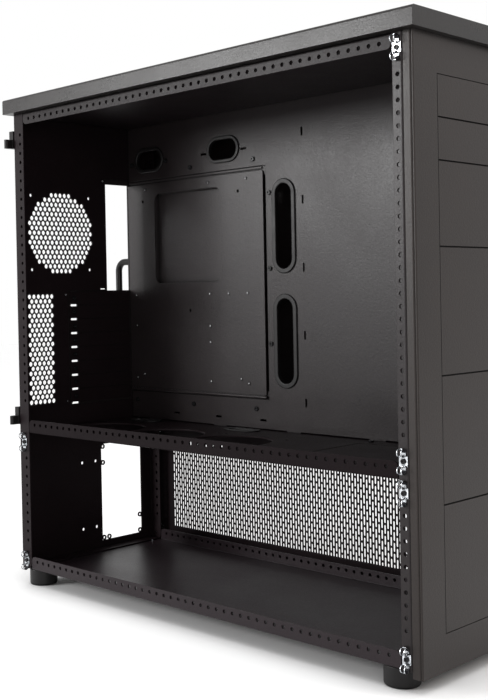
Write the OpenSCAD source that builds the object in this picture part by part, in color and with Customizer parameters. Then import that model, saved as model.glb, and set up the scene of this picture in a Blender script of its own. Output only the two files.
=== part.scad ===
// Tower computer case in folded aluminium sheet, seen from its open left side:
// an upper chamber with a slide-out board tray, a lower chamber for the power supply,
// a front with six bay covers, and closed doors on the right side.
// x runs from the open left side to the right, the front faces -y, z is up.

/* [Chassis] */
// Width across the side flanges
case_w = 247; // [240:1:300]
// Depth from the rear face to the front face
case_d = 659; // [655:1:720]
// Height of the folded frame, without feet and top cover
frame_h = 632; // [630:1:700]
// Thickness of the folded sheet
sheet = 2; // [1.5:0.1:2.4]
// Outer radius of a fold
bend_r = 2.6; // [2.5:0.1:3.5]
// Width of the rear corner flange
post_w = 22; // [20:0.5:26]
// Width of the front corner flange
front_post_w = 12.5; // [12:0.5:16]
// Radius on the free corners of the side rails
rail_corner_r = 6; // [2:0.5:7]

/* [Side rails] */
// Height of the floor and mid rails
rail_h = 18.3; // [17:0.1:24]
// Height of the top rail
top_rail_h = 16; // [14:0.5:20]
// Rail hole row above the underside of its plate
rail_hole_h = 12; // [10:0.5:13]
// Top rail hole row above the rail's free edge
top_hole_up = 7; // [5:0.5:9]
// Distance between flange holes
hole_pitch = 12.7; // [12.7:0.1:16]
// Radius of a flange hole
hole_r = 2.3; // [1.5:0.1:2.4]
// Clear end of a side rail behind its last hole
rail_hole_end = 12; // [8:0.5:20]
// First rail hole in front of the rear face
rail_hole_d = 35; // [33:0.5:40]
// Seam between a rail and a corner flange
seam = 1; // [0.4:0.1:2]

/* [Corner flange holes] */
// Height of the top hole of the upper row
upper_hole_top = 590; // [580:1:592]
// Holes in the upper row
upper_holes = 29; // [10:1:29]
// Height of the top hole of the lower row
lower_hole_top = 154.5; // [150:0.5:158]
// Holes in the lower row
lower_holes = 10; // [4:1:10]
// Hole column from the free edge of a rear corner flange
post_hole_in = 7; // [5:0.5:9]
// Hole column from the free edge of a front corner flange
front_hole_in = 6; // [5:0.5:7]

/* [Top cover] */
// How far the top cover stands out at each side
cap_side = 12; // [12:0.5:14]
// How far the top cover stands out at the front and the rear
cap_end = 8; // [4:0.5:12]
// Height of the top cover
cap_h = 20; // [16:1:30]
// Width of the lip folded in under the top cover
cap_lip = 16; // [15:0.5:24]
// Radius of the top cover's fold
cap_bend_r = 3; // [2.5:0.1:4]

/* [Feet] */
// Foot diameter
foot_d = 38; // [30:1:44]
// Foot height
foot_h = 22; // [16:1:30]
// Foot centre from the side of the frame
foot_in = 20; // [20:0.5:30]
// Rear foot centre from the rear face
foot_rear = 22.5; // [22:0.5:40]
// Front foot centre from the front face
foot_front = 38.5; // [36:0.5:60]

/* [Mid plate] */
// Underside of the mid plate above the underside of the floor
mid_h = 189.5; // [185:0.5:192]
// Diameter of a fan opening in the mid plate
mid_fan_bore = 112; // [90:1:114]
// Distance between fan centres in the mid plate
mid_fan_pitch = 119; // [118:0.5:125]
// First fan centre in front of the rear face
mid_fan_d = 71; // [66:0.5:80]
// Fan centre line from the left side
mid_fan_x = 97.5; // [90:0.5:105]
// Front edge of the removable cover behind the front frame's face
mid_cover_in = 39; // [36:1:48]
// Length of the removable cover
mid_cover_l = 158; // [80:1:158]
// Width of the removable cover
mid_cover_w = 150; // [80:1:155]
// Removable cover from the left side
mid_cover_x = 34; // [20:1:40]
// Gap around the removable cover
mid_cover_gap = 2; // [1:0.5:3]
// Width of the removable cover's rim under the mid plate
mid_cover_lap = 19; // [12:0.5:19]

/* [Board wall] */
// Near face of the board wall from the left side
wall_x = 211; // [208:0.5:213]
// Gap between the board wall and the mid plate
wall_gap = 1.5; // [0.5:0.5:3]
// Width of a foot of the board wall
wall_tab_w = 24; // [16:1:40]
// Flange of the board wall
wall_flange = 12; // [8:0.5:16]

/* [Cable openings] */
// Length of a horizontal cable grommet
grommet_h_len = 62; // [56:1:70]
// Height of a horizontal cable grommet
grommet_h_w = 37; // [32:0.5:40]
// Length of a vertical cable grommet
grommet_v_len = 126; // [110:1:130]
// Width of a vertical cable grommet
grommet_v_w = 40; // [34:0.5:41]
// Rubber from the outline to the opening, on a vertical grommet
grommet_rim = 6.5; // [5:0.5:8]
// Rubber from the outline to the opening, on a horizontal grommet
grommet_h_rim = 5; // [4.5:0.5:8]
// Rubber lip over the edge of the sheet
grommet_lip = 3; // [2:0.5:4]
// Rubber lip thickness
grommet_t = 2.2; // [1.5:0.1:3]
// Distance between the two horizontal grommets
grommet_h_pitch = 152.4; // [140:0.1:160]
// Distance between the two vertical grommets
grommet_v_pitch = 153.4; // [140:0.1:160]
// First horizontal grommet in front of the rear face
grommet_h_d = 49; // [46:0.5:60]
// Height of the horizontal grommets
grommet_h_z = 579; // [578:0.5:590]
// Vertical grommets in front of the tray's front edge
grommet_v_ahead = 36.5; // [36:0.5:60]
// Height of the upper vertical grommet
grommet_v_z = 466; // [440:0.5:500]
// Length of a cable tie slot
tie_slot_l = 11; // [8:0.5:14]
// Width of a cable tie slot
tie_slot_w = 3; // [1.6:0.1:4]
// Distance between upright cable tie slots
tie_pitch = 89; // [80:0.5:89]
// Cable tie slots below the tray
tie_under = 33.5; // [32:0.5:35]

/* [Board tray] */
// Lower edge of the tray
tray_z = 238; // [236:0.5:240]
// Height of the tray
tray_h = 305.5; // [304:0.5:308]
// Depth of the tray from the rear face
tray_d = 274.5; // [262:0.5:284]
// Gap in front of the tray
tray_gap_front = 5; // [3:0.5:8]
// Wall opening above the tray
tray_gap_top = 6.5; // [6:0.5:8]
// Gap below the strip over the tray
tray_strip_gap = 2.5; // [1:0.1:3]
// Height of the strip over the tray
tray_strip_h = 2.6; // [1:0.1:3]
// Height of the ledge under the tray
tray_ledge_h = 4; // [2:0.5:5]
// Running clearance behind the tray
tray_run = 0.3; // [0.2:0.1:0.5]
// Radius on the tray's front corners
tray_corner_r = 3; // [1:0.5:5]
// Length of travel of the tray
tray_travel = 240; // [100:5:250]
// First board hole column in front of the rear face
board_d = 16.1; // [14:0.1:20]
// Top board hole row below the tray's upper edge
board_top_in = 8.2; // [7:0.1:9.5]
// Radius of a threaded insert
insert_r = 2.3; // [1.8:0.1:2.8]
// Height of a threaded insert over the tray
insert_h = 1; // [0.6:0.1:3]

/* [Processor opening] */
// Opening in front of the rear face
cpu_d = 59; // [56:0.5:70]
// Width of the opening
cpu_w = 136; // [110:1:140]
// Upper edge of the opening below the tray's upper edge
cpu_top_in = 15.5; // [15:0.5:17.5]
// Height of the opening
cpu_h = 134; // [90:1:136]
// Corner radius of the opening
cpu_r = 12; // [4:0.5:14]
// Depth of the cover behind the opening
cpu_cover_deep = 8; // [6:0.5:9]
// Rim of the cover behind the opening
cpu_cover_rim = 8; // [7:0.5:10]

/* [Rear opening for the tray] */
// Left edge of the card slot zone from the left side
slot_zone_x = 89; // [86:0.5:91]
// Left edge of the connector zone from the left side
io_zone_x = 162.4; // [160:0.1:164]
// Right edge of the opening from the left side
tray_open_right = 225; // [224:0.5:230]
// Lower edge of the opening
tray_open_z = 220; // [219:0.5:222]
// Step between the slot zone and the connector zone
io_step_z = 386.5; // [385:0.5:388]
// Upper edge of the opening
tray_open_top = 552.5; // [552:0.5:556]
// Length of the relief slot beside the step
relief_l = 11.4; // [6:0.1:12]
// Height of the relief slot
relief_h = 1.4; // [0.8:0.1:2]
// Lap of the tray's rear plate over the opening
io_lap = 8; // [7:0.5:10]
// Connector opening from the left side
io_x = 165.6; // [165:0.1:166]
// Width of the connector opening
io_w = 44.45; // [44:0.01:45]
// Lower edge of the connector opening
io_z = 385.8; // [385:0.1:388]
// Height of the connector opening
io_h = 158.75; // [158:0.01:160]

/* [Card slots] */
// Number of card slots
slots = 8; // [4:1:8]
// Distance between card slots
slot_pitch = 20.32; // [20.32:0.01:21]
// Height of the top slot's centre line
slot_top = 375; // [374:0.1:376]
// Height of a slot opening
slot_open_h = 12.9; // [12:0.1:15]
// Slot opening from the left side
slot_open_x = 110; // [108:0.5:114]
// Length of a slot opening
slot_open_l = 92; // [80:0.5:96]
// Slot cover from the left side
slot_cover_x = 92; // [91:0.5:93]
// Length of a slot cover
slot_cover_l = 116; // [112:0.5:117]
// Gap between slot covers
slot_cover_gap = 1; // [0.6:0.1:1.6]
// Thickness of a slot cover
slot_cover_t = 1; // [0.8:0.1:1.5]
// Notch between slot covers from the left side
slot_notch_x = 95; // [94:0.5:97]
// Length of a notch
slot_notch_l = 12.4; // [8:0.1:14]
// Height of a notch
slot_notch_h = 3; // [2:0.1:4]

/* [Tray handle] */
// Handle centre line from the left side
handle_x = 218.5; // [217:0.5:222]
// Height of the handle's top
handle_top = 434.3; // [420:0.1:450]
// Length of the handle
handle_l = 110; // [90:1:130]
// Handle bar radius
handle_r = 5; // [4:0.25:6]
// Handle centre line from the plate
handle_out = 31; // [26:0.5:40]
// Radius of the handle's bends at the centre line
handle_bend = 14; // [10:0.5:16]

/* [Rear grilles] */
// Diameter of a grille hole
grille_hole = 6.5; // [5:0.1:7]
// Distance between grille holes
grille_pitch = 7.85; // [7.5:0.05:9]
// Fan centre from the left side
fan_x = 79; // [76:0.5:82]
// Height of the fan centre
fan_z = 469; // [460:0.5:480]
// Reach of the hole centres from the fan centre
fan_reach = 58; // [50:0.5:58]
// Side of the square of fan screw holes
fan_screws = 105; // [105:0.5:110]
// Radius of a fan screw hole
fan_screw_r = 2.2; // [2:0.1:2.6]
// Vent centre from the left side
vent_x = 40.6; // [38:0.2:44]
// Height of the vent centre
vent_z = 303.5; // [295:0.5:310]
// Vent hole columns
vent_cols = 6; // [3:1:6]
// Vent hole rows
vent_rows = 23; // [9:2:23]

/* [Power supply opening] */
// Opening from the left side
psu_x = 146; // [142:0.5:150]
// Width of the opening
psu_w = 79; // [76:0.5:84]
// Lower edge of the opening
psu_z = 13.5; // [12:0.5:18]
// Height of the opening
psu_h = 143.5; // [140:0.5:146]
// Radius of a screw ear
psu_ear_r = 3.8; // [3.4:0.1:4.5]
// Radius of a screw ear's hole
psu_hole_r = 2; // [1.8:0.1:2.4]
// Distance between the long pair of screws
psu_screws_h = 136; // [130:0.5:138]
// Distance between the short pair of screws
psu_screws_w = 72; // [64:0.5:74]

/* [Front] */
// Depth of the front shell
shell_d = 12; // [10:0.5:16]
// How far the front shell reaches below the frame
shell_drop = 6; // [0:0.5:8]
// Width of the lip that fixes the front shell to the frame
shell_lip = 14; // [10:1:24]
// Radius on the upright edges of the front plate
front_edge_r = 1.2; // [0.4:0.1:1.6]
// Left edge of the bay opening from the left side
bay_x = 41; // [38:0.5:50]
// Height of the bottom of the bay opening
bay_z = 31.6; // [30:0.1:40]
// Height of one bay
bay_pitch = 43.2; // [42:0.1:43.5]
// Gap around a bay cover
bay_gap = 1.7; // [0.8:0.1:2]
// How far the lip of a bay cover reaches behind its neighbour
bay_lip = 4; // [2:0.5:6]
// Room between the lip of a bay cover and the neighbour's back
bay_lip_gap = 0.4; // [0.3:0.1:1]
// Depth of a bay cover's folded edge
bay_cover_d = 11; // [10:0.5:13]
// Depth of the bay rails behind the front frame
bay_rail_d = 16; // [14:0.5:16]

/* [Right doors] */
// Height of the split between the upper and the lower door
door_split = 192.5; // [190:0.5:193]
// Gap around a door
door_gap = 0.6; // [0.4:0.1:1]
// Margin of the lower door's vent at the front and the rear
door_vent_in = 42; // [36:0.5:60]
// Height of the bottom of the lower door's vent
door_vent_z = 22.5; // [22:0.5:30]
// Rows of vent slots
door_vent_rows = 10; // [4:1:10]
// Columns of vent slots
door_vent_cols = 48; // [20:2:48]
// Distance between rows of vent slots
door_vent_row_pitch = 13.9; // [13:0.1:14]
// Length of a vent slot
door_slot_l = 11.6; // [8:0.1:12]
// Width of a vent slot
door_slot_w = 5.6; // [3:0.1:6]
// Radius of a door stud
stud_r = 3.4; // [2.5:0.1:3.8]

/* [Hinges] */
// Height of the upper hinge
hinge_top_z = 585.5; // [560:0.5:590]
// Height of the lower hinge
hinge_low_z = 200.6; // [198:0.2:240]
// Height of a hinge half
hinge_h = 24; // [20:0.5:30]
// Height of the hinge arm
hinge_arm_h = 12; // [8:0.5:14]
// Hinge axis outside the side of the frame
hinge_out = 8; // [7:0.1:8]
// Hinge axis behind the rear face
hinge_back = 5; // [4.6:0.1:6]
// Radius of the hinge arm's end
hinge_r = 3.5; // [3:0.1:3.6]
// Radius of the hinge pin
pin_r = 2; // [1.5:0.1:2.2]
// Clearance around the hinge pin
pin_gap = 0.1; // [0.05:0.05:0.3]

/* [Spring clips] */
// Width of a spring clip
clip_w = 10; // [8:0.5:11]
// Thickness of the spring steel
clip_t = 0.9; // [0.7:0.1:1.2]
// Height of a loop's centre from the clip's middle
clip_loop_z = 8.6; // [8.4:0.1:9.5]
// Outer radius of a loop
clip_loop_r = 4.4; // [3.8:0.1:4.5]
// Width of the window in a loop
clip_window = 5.4; // [3:0.1:6]
// Rear clip column in front of the rear face
clip_rear_d = 12; // [10:0.5:16]
// Heights of the clips: top, above the split, below the split, bottom
clip_zs = [616, 208.4, 176.8, 12];

/* [Screws] */
// Screw head radius
head_r = 3.2; // [2.6:0.1:4]
// Screw head thickness
head_h = 1.9; // [1.4:0.1:2.6]
// Screw shank radius
shank_r = 1.5; // [1.2:0.1:1.8]
// Clearance around a shank
shank_gap = 0.2; // [0.1:0.05:0.3]

/* [Hidden] */
$fn = 48;
e = 0.01; // overlap that keeps cuts clean
touch = 0.3; // clearance between pieces that pass each other
plate_in = sheet + 0.8; // side of a plate that lies between two flanges

front_reach = cap_end;
rear_reach = sheet + handle_out + handle_r;
left_x = -case_w / 2;
rear_y = case_d / 2 + (front_reach - rear_reach) / 2;
base_z = foot_h;

rail_start = post_w + seam;
front_plate_d = case_d - shell_d; // front face of the front frame
rail_end = front_plate_d - front_post_w - seam;
mid_cover_d = front_plate_d - mid_cover_in - mid_cover_l;
rail_holes = 1 + floor((rail_end - rail_hole_d - rail_hole_end) / hole_pitch);
door_t = cap_side;
right_face = case_w; // outer face of the right flanges
inch = 25.4;
bays = [3, 3, 3, 2, 1, 1]; // cover heights in bays, from the bottom up
bay_h = bay_pitch * 13;
bay_w = case_w - 2 * bay_x;
row_h = grille_pitch * sin(60);
door_vent_l = case_d - 2 * door_vent_in;
slot_gap_z = slot_top - slot_pitch / 2;
door_low_z = -shell_drop;
door_top_z = frame_h - door_gap;
clip_front_d = front_plate_d - front_post_w + front_hole_in;
runner_lap = 6; // how far a runner reaches behind the tray's edge
runner_h = 30;
runner_z = tray_z - runner_h + runner_lap;
runner_top_z = tray_z + tray_h - runner_lap;
runner_top_h = runner_lap + tray_gap_top + 2; // the tabs for its screws reach higher
cpu_z = tray_z + tray_h - cpu_top_in - cpu_h;
board_top = tray_z + tray_h - board_top_in;
tray_screw_side = tray_d + 10.5;
tray_screw_zs = [tray_z + tray_h - 31.1, tray_z + 0.564 * tray_h, tray_z + 70.8];
// Screws of the upper runner: distance in front of the rear face, height above the tray
upper_runner_screws = [[11, 31], [85, 31], [136, 16.5], [tray_d - 17.5, 16.5]];
// Screws of the lower runner
lower_runner_screws = [[14, -18.4], [tray_d / 2 - 2.2, -18.4], [tray_d - 18.5, -18.4]];
ink = [0.17, 0.16, 0.16];
ink_dark = [0.11, 0.1, 0.1];
zinc = [0.82, 0.84, 0.86];
rubber = [0.07, 0.07, 0.07];

// Threaded inserts on the tray: inches in front of the first column and below the top row
board_inserts = [
    [0.9, 0], [6.1, 0], [8.95, 0],
    [0, 6.2], [6.1, 6.2], [7.55, 6.2], [8.95, 6.2],
    [0, 8.0], [6.1, 8.0], [6.1, 8.9],
    [0, 11.1], [6.1, 11.1], [8.95, 11.1],
    [0.6, 10.88], [8.37, 10.88],
];
// Plain holes in the tray, measured the same way
board_holes = [[0.69, 0.68], [8.37, 0.65], [4.53, 7.13]];

// Screw ears of the power supply opening: right side or not, top or not, step in x and z
psu_ears = [
    [0, 0, 0, 0], [0, 0, 10, 0], [1, 0, 0, 0], [1, 0, 0, 24],
    [0, 1, 0, 0], [0, 1, 0, -24], [1, 1, 0, 0], [1, 1, -10, 0],
];

// Puts a piece drawn from the left side, forward of the rear face and above the floor underside
// into the frame of the whole case: x to the right, d forward, h up
module at(x = 0, d = 0, h = 0) {
    translate([left_x + x, rear_y - d, base_z + h]) children();
}

// A block from (x, d, h) with sizes to the right, forward and up
module block(x, d, h, sx, sd, sh) {
    at(x, d + sd, h) cube([sx, sd, sh]);
}

// A rod along x, y or z, centred on a point and starting at it
module rod_x(x, d, h, r, l) { at(x, d, h) rotate([0, 90, 0]) cylinder(r = r, h = l); }
module rod_d(x, d, h, r, l) { at(x, d, h) rotate([90, 0, 0]) cylinder(r = r, h = l); }
module rod_h(x, d, h, r, l) { at(x, d, h) cylinder(r = r, h = l); }

function arc_points(cx, cy, r, a0, a1, n = 5) =
    [for (i = [0:n]) [cx + r * cos(a0 + (a1 - a0) * i / n), cy + r * sin(a0 + (a1 - a0) * i / n)]];

// Outline of a sheet folded up at both ends: width w, height hh, sheet t, outer fold radius r
function channel(w, hh, t, r) = concat(
    [[0, hh]],
    arc_points(r, r, r, 180, 270),
    arc_points(w - r, r, r, 270, 360),
    [[w, hh], [w - t, hh]],
    arc_points(w - r, r, r - t, 360, 270, 3),
    arc_points(r, r, r - t, 270, 180, 3),
    [[t, hh]]
);

// The same channel as a piece that runs forward from d over a length, opening up or down
module channel_along(x, d, h, w, hh, l, up = true) {
    at(x, d, h) rotate([90, 0, 0]) {
        linear_extrude(height = l) {
            if (up) polygon(channel(w, hh, sheet, bend_r));
            else mirror([0, 1]) polygon(channel(w, hh, sheet, bend_r));
        }
    }
}

// A slot with round ends through a wall that lies across x: length along d or along h
module round_slot_x(x, d, h, len, w, t, along_h = true) {
    s = (len - w) / 2;
    if (along_h) {
        rod_x(x, d, h - s, w / 2, t);
        rod_x(x, d, h + s, w / 2, t);
        block(x, d - w / 2, h - s, t, w, 2 * s);
    } else {
        rod_x(x, d - s, h, w / 2, t);
        rod_x(x, d + s, h, w / 2, t);
        block(x, d - s, h - w / 2, t, 2 * s, w);
    }
}

// A slot with round ends through a plate that lies flat: length along d
module round_slot_h(x, d, h, len, w, t) {
    s = (len - w) / 2;
    rod_h(x, d - s, h, w / 2, t);
    rod_h(x, d + s, h, w / 2, t);
    block(x - w / 2, d - s, h, w, 2 * s, t);
}

// What is cut off a square corner to round it, in the plane across x.
// (sd, sh) points from the corner into the piece, 1 or -1 each
module corner_cut_x(x, d, h, r, t, sd, sh) {
    difference() {
        block(x, sd > 0 ? d - e : d - r, sh > 0 ? h - e : h - r, t, r + e, r + e);
        rod_x(x - e, d + sd * r, h + sh * r, r, t + 2 * e);
    }
}

// Hole rows of a pair of side rails
module rail_hole_rows(h) {
    for (i = [0:rail_holes - 1]) rod_x(-e, rail_hole_d + i * hole_pitch, h, hole_r, sheet + 2 * e);
    for (i = [0:rail_holes - 1]) {
        rod_x(case_w - sheet - e, rail_hole_d + i * hole_pitch, h, hole_r, sheet + 2 * e);
    }
}

// Hole columns of a pair of corner flanges, with extra holes at the top
module post_hole_columns(d, extra = 0) {
    for (x = [-e, case_w - sheet - e]) {
        for (i = [-extra:upper_holes - 1]) {
            rod_x(x, d, upper_hole_top - i * hole_pitch, hole_r, sheet + 2 * e);
        }
        for (i = [0:lower_holes - 1]) {
            rod_x(x, d, lower_hole_top - i * hole_pitch, hole_r, sheet + 2 * e);
        }
    }
}

// Floor, mid plate and ceiling

// Plate with both side rails, from the rear face to the front frame
module plate_with_rails(h, hh, hole_h, up) {
    difference() {
        union() {
            channel_along(0, rail_start, h, case_w, hh, rail_end - rail_start, up);
            block(plate_in, sheet, up ? h : h - sheet, case_w - 2 * plate_in,
                front_plate_d - 2 * sheet, sheet);
        }
        rail_hole_rows(hole_h);
        for (x = [-e, case_w - sheet - e]) {
            free = up ? h + hh : h - hh;
            corner_cut_x(x, rail_start, free, rail_corner_r, sheet + 2 * e, 1, up ? -1 : 1);
            corner_cut_x(x, rail_end, free, rail_corner_r, sheet + 2 * e, -1, up ? -1 : 1);
        }
    }
}

module floor_pan() {
    color(ink) difference() {
        plate_with_rails(0, rail_h, rail_hole_h, true);
        for (p = foot_places()) rod_h(p[0], p[1], -e, shank_r + shank_gap, sheet + 2 * e);
    }
}

module ceiling_panel() {
    color(ink) plate_with_rails(frame_h, top_rail_h, frame_h - top_rail_h + top_hole_up, false);
}

function mid_fan_ds() = [for (i = [0:2]) mid_fan_d + i * mid_fan_pitch];
function mid_grommet_ds() = [mid_fan_d - 19, mid_fan_d + 1.5 * mid_fan_pitch - 3];
mid_grommet_x = wall_x - 20;
mid_grommet_len = 58;
mid_grommet_w = 26;

module mid_plate() {
    fan = fan_screws / 2;
    color(ink) difference() {
        plate_with_rails(mid_h, rail_h, mid_h + rail_hole_h, true);
        for (d = mid_fan_ds()) {
            rod_h(mid_fan_x, d, mid_h - e, mid_fan_bore / 2, sheet + 2 * e);
            for (a = [-fan, fan], b = [-fan, fan]) {
                rod_h(mid_fan_x + a, d + b, mid_h - e, fan_screw_r, sheet + 2 * e);
            }
        }
        for (d = mid_grommet_ds()) {
            round_slot_h(mid_grommet_x, d, mid_h - e, mid_grommet_len - 2 * grommet_lip,
                mid_grommet_w - 2 * grommet_lip, sheet + 2 * e);
        }
        block(mid_cover_x, mid_cover_d, mid_h - e, mid_cover_w, mid_cover_l, sheet + 2 * e);
        block(bay_x - 4, front_plate_d - bay_rail_d - 0.5, mid_h - e, bay_w + 8, bay_rail_d, sheet + 2 * e);
        for (p = mid_cover_screws()) rod_h(p[0], p[1], mid_h - e, shank_r + shank_gap, sheet + 2 * e);
    }
}

function mid_cover_screws() = [
    for (x = [mid_cover_x - 15.5, mid_cover_x + mid_cover_w + 15.5], d = [5, mid_cover_l - 5])
        [x, mid_cover_d + d]
];

// The removable cover fills the mid plate's opening; its rim is screwed to the plate's underside
module mid_plate_cover() {
    color(ink) difference() {
        union() {
        block(mid_cover_x + mid_cover_gap, mid_cover_d + mid_cover_gap, mid_h,
            mid_cover_w - 2 * mid_cover_gap, mid_cover_l - 2 * mid_cover_gap, sheet);
        block(mid_cover_x - mid_cover_lap, mid_cover_d - mid_cover_lap, mid_h - sheet,
            mid_cover_w + 2 * mid_cover_lap, mid_cover_l + 2 * mid_cover_lap, sheet);
        }
        for (p = mid_cover_screws()) rod_h(p[0], p[1], mid_h - sheet - e, shank_r + shank_gap, sheet + 1);
    }
}

// Rear panel

module grille_round(x, h) {
    n = floor(fan_reach / row_h);
    for (j = [-n:n]) {
        shift = j % 2 == 0 ? 0 : grille_pitch / 2;
        for (i = [-n:n]) {
            a = i * grille_pitch + shift;
            if (norm([a, j * row_h]) < fan_reach) rod_d(x + a, -e, h + j * row_h, grille_hole / 2, sheet + 2 * e);
        }
    }
}

module grille_strip(x, h) {
    for (j = [0:vent_rows - 1]) {
        n = j % 2 == 0 ? vent_cols : vent_cols - 1;
        for (i = [0:n - 1]) {
            rod_d(x + (i - (n - 1) / 2) * grille_pitch, -e, h + (j - (vent_rows - 1) / 2) * row_h,
                grille_hole / 2, sheet + 2 * e);
        }
    }
}

function ear_x(q) = psu_x + (psu_w - psu_screws_w) / 2 + q[0] * psu_screws_w + q[2];
function ear_z(q) = psu_z + (psu_h - psu_screws_h) / 2 + q[1] * psu_screws_h + q[3];

// Relief slot at the inner corner of the step, through the rear panel and the tray's rear plate
module relief_slot(d) {
    block(io_zone_x - relief_l, d, io_step_z + 1, relief_l, sheet + 2 * e, relief_h);
}

module rear_panel() {
    color(ink_dark) difference() {
        union() {
            difference() {
                union() {
                    at(0, 0, 0) mirror([0, 1, 0]) linear_extrude(height = frame_h) {
                        polygon(channel(case_w, post_w, sheet, bend_r));
                    }
                    block(plate_in, sheet - e, sheet, case_w - 2 * plate_in, 18, sheet);
                }
                block(psu_x, -e, psu_z, psu_w, sheet + 2 * e, psu_h);
            }
            for (q = psu_ears) rod_d(ear_x(q), 0, ear_z(q), psu_ear_r, sheet);
        }
        for (q = psu_ears) rod_d(ear_x(q), -e, ear_z(q), psu_hole_r, sheet + 2 * e);
        block(slot_zone_x, -e, tray_open_z, tray_open_right - slot_zone_x, sheet + 2 * e,
            io_step_z - tray_open_z);
        block(io_zone_x, -e, io_step_z - e, tray_open_right - io_zone_x, sheet + 2 * e,
            tray_open_top - io_step_z + e);
        relief_slot(-e);
        grille_round(fan_x, fan_z);
        grille_strip(vent_x, vent_z);
        for (a = [-fan_screws / 2, fan_screws / 2], b = [-fan_screws / 2, fan_screws / 2]) {
            rod_d(fan_x + a, -e, fan_z + b, fan_screw_r, sheet + 2 * e);
        }
        for (a = [0, inch], b = [0, 97.6]) rod_d(psu_x - 36 + a, -e, 35.6 + b, hole_r, sheet + 2 * e);
        for (p = thumb_places()) rod_d(p[0], -e, p[1], shank_r + shank_gap, sheet + 2 * e);
        post_hole_columns(post_w - post_hole_in, 1);
        clip_screw_holes(clip_rear_d, [2, 3], true);
        clip_screw_holes(clip_rear_d, [2, 3], false);
        for (x = [-e, case_w - sheet - e]) corner_cut_x(x, post_w, 0, 10, sheet + 2 * e, -1, 1);
    }
}

// Front

// Front frame: a plate with a bay opening, corner flanges behind it and two bay rails
module front_frame() {
    x0 = bay_x + bay_gap / 2;
    w = bay_w - bay_gap;
    color(ink) difference() {
        union() {
            difference() {
                at(0, front_plate_d, 0) linear_extrude(height = frame_h) {
                    polygon(channel(case_w, front_post_w, sheet, bend_r));
                }
                block(x0, front_plate_d - sheet - e, bay_z - 3, w, sheet + 2 * e, bay_h + 6);
            }
            for (x = [x0 - sheet, x0 + w]) {
                block(x, front_plate_d - bay_rail_d, bay_z - 3, sheet, bay_rail_d, bay_h + 6);
            }
        }
        for (p = bay_screw_places()) {
            rod_x(x0 - sheet - e, p[0], p[1], shank_r + shank_gap, sheet + 2 * e);
            rod_x(x0 + w - e, p[0], p[1], shank_r + shank_gap, sheet + 2 * e);
        }
        post_hole_columns(clip_front_d);
        clip_screw_holes(clip_front_d, [0, 1, 2, 3], true);
        clip_screw_holes(clip_front_d, [0, 1, 2, 3], false);
    }
}

// Outline of a channel whose ends are folded in once more
function lipped_channel(w, hh, t, r, lip) = concat(
    [[lip, hh], [0, hh]],
    arc_points(r, r, r, 180, 270),
    arc_points(w - r, r, r, 270, 360),
    [[w, hh], [w - lip, hh], [w - lip, hh - t], [w - t, hh - t]],
    arc_points(w - r, r, r - t, 360, 270, 3),
    arc_points(r, r, r - t, 270, 180, 3),
    [[t, hh - t], [lip, hh - t]]
);

// Front shell: its lips lie on the front frame and its web carries the front plate
module front_shell() {
    room = bay_lip + bay_gap + 1;
    color(ink) difference() {
        at(0, case_d - sheet, -shell_drop) linear_extrude(height = frame_h + shell_drop) {
            polygon(lipped_channel(case_w, shell_d - sheet, sheet, bend_r, shell_lip));
        }
        block(bay_x - 3, case_d - 3 * sheet, bay_z - room, bay_w + 6, 3 * sheet, bay_h + 2 * room);
    }
}

module front_plate() {
    r = front_edge_r;
    color(ink) difference() {
        at(0, case_d, -shell_drop) linear_extrude(height = frame_h + shell_drop) {
            polygon(concat([[0, sheet]], arc_points(r, r, r, 180, 270),
                arc_points(case_w - r, r, r, 270, 360), [[case_w, sheet]]));
        }
        block(bay_x, case_d - sheet - e, bay_z, bay_w, sheet + 2 * e, bay_h);
    }
}

function bays_below(i) = i == 0 ? 0 : bays[i - 1] + bays_below(i - 1);

// Screws that hold the bay covers to the bay rails: one a side in the middle of each bay
function bay_screw_places() = [
    for (k = [0:12]) [front_plate_d - bay_cover_d + 4, bay_z + (k + 0.5) * bay_pitch]
];

// Lip that closes the gap under a bay cover from behind: a strip from height a, held on from height b
module bay_cover_lip(x0, w, a, b) {
    x = x0 + 2 * sheet;
    l = w - 4 * sheet;
    block(x, case_d - 2 * sheet - bay_lip_gap, a, l, sheet, 2 * bay_lip + bay_gap);
    block(x, case_d - sheet - bay_lip_gap - e, b, l, bay_lip_gap + 2 * e, bay_lip);
}

module bay_cover(i) {
    h0 = bay_z + bays_below(i) * bay_pitch + bay_gap / 2;
    hh = bays[i] * bay_pitch - bay_gap;
    x0 = bay_x + bay_gap / 2;
    w = bay_w - bay_gap;
    color(ink) difference() {
        union() {
            block(x0, case_d - sheet, h0, w, sheet, hh);
            for (x = [x0, x0 + w - sheet]) {
                block(x, front_plate_d - bay_cover_d, h0, sheet, shell_d + bay_cover_d, hh);
            }
            bay_cover_lip(x0, w, h0 - bay_gap - bay_lip, h0);
            if (i == len(bays) - 1) bay_cover_lip(x0, w, h0 + hh - bay_lip, h0 + hh - bay_lip);
        }
        for (p = bay_screw_places()) rod_x(x0 - e, p[0], p[1], shank_r + shank_gap, w + 2 * e);
    }
}

// Top cover: a tray with its sides folded down and a lip folded in that rests on the frame
module top_cover() {
    w = case_w + 2 * cap_side;
    l = case_d + 2 * cap_end;
    color(ink) difference() {
        at(-cap_side, -cap_end, frame_h) rotate([90, 0, 0]) linear_extrude(height = l) {
            polygon(concat([[0, 0]], arc_points(cap_bend_r, cap_h - cap_bend_r, cap_bend_r, 180, 90),
                arc_points(w - cap_bend_r, cap_h - cap_bend_r, cap_bend_r, 90, 0), [[w, 0]]));
        }
        block(sheet - cap_side, sheet - cap_end, frame_h + sheet, w - 2 * sheet, l - 2 * sheet,
            cap_h - 2 * sheet);
        block(cap_lip - cap_side, cap_lip - cap_end, frame_h - e, w - 2 * cap_lip, l - 2 * cap_lip,
            sheet + 2 * e);
    }
}

// Board wall and the runners of the tray

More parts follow.
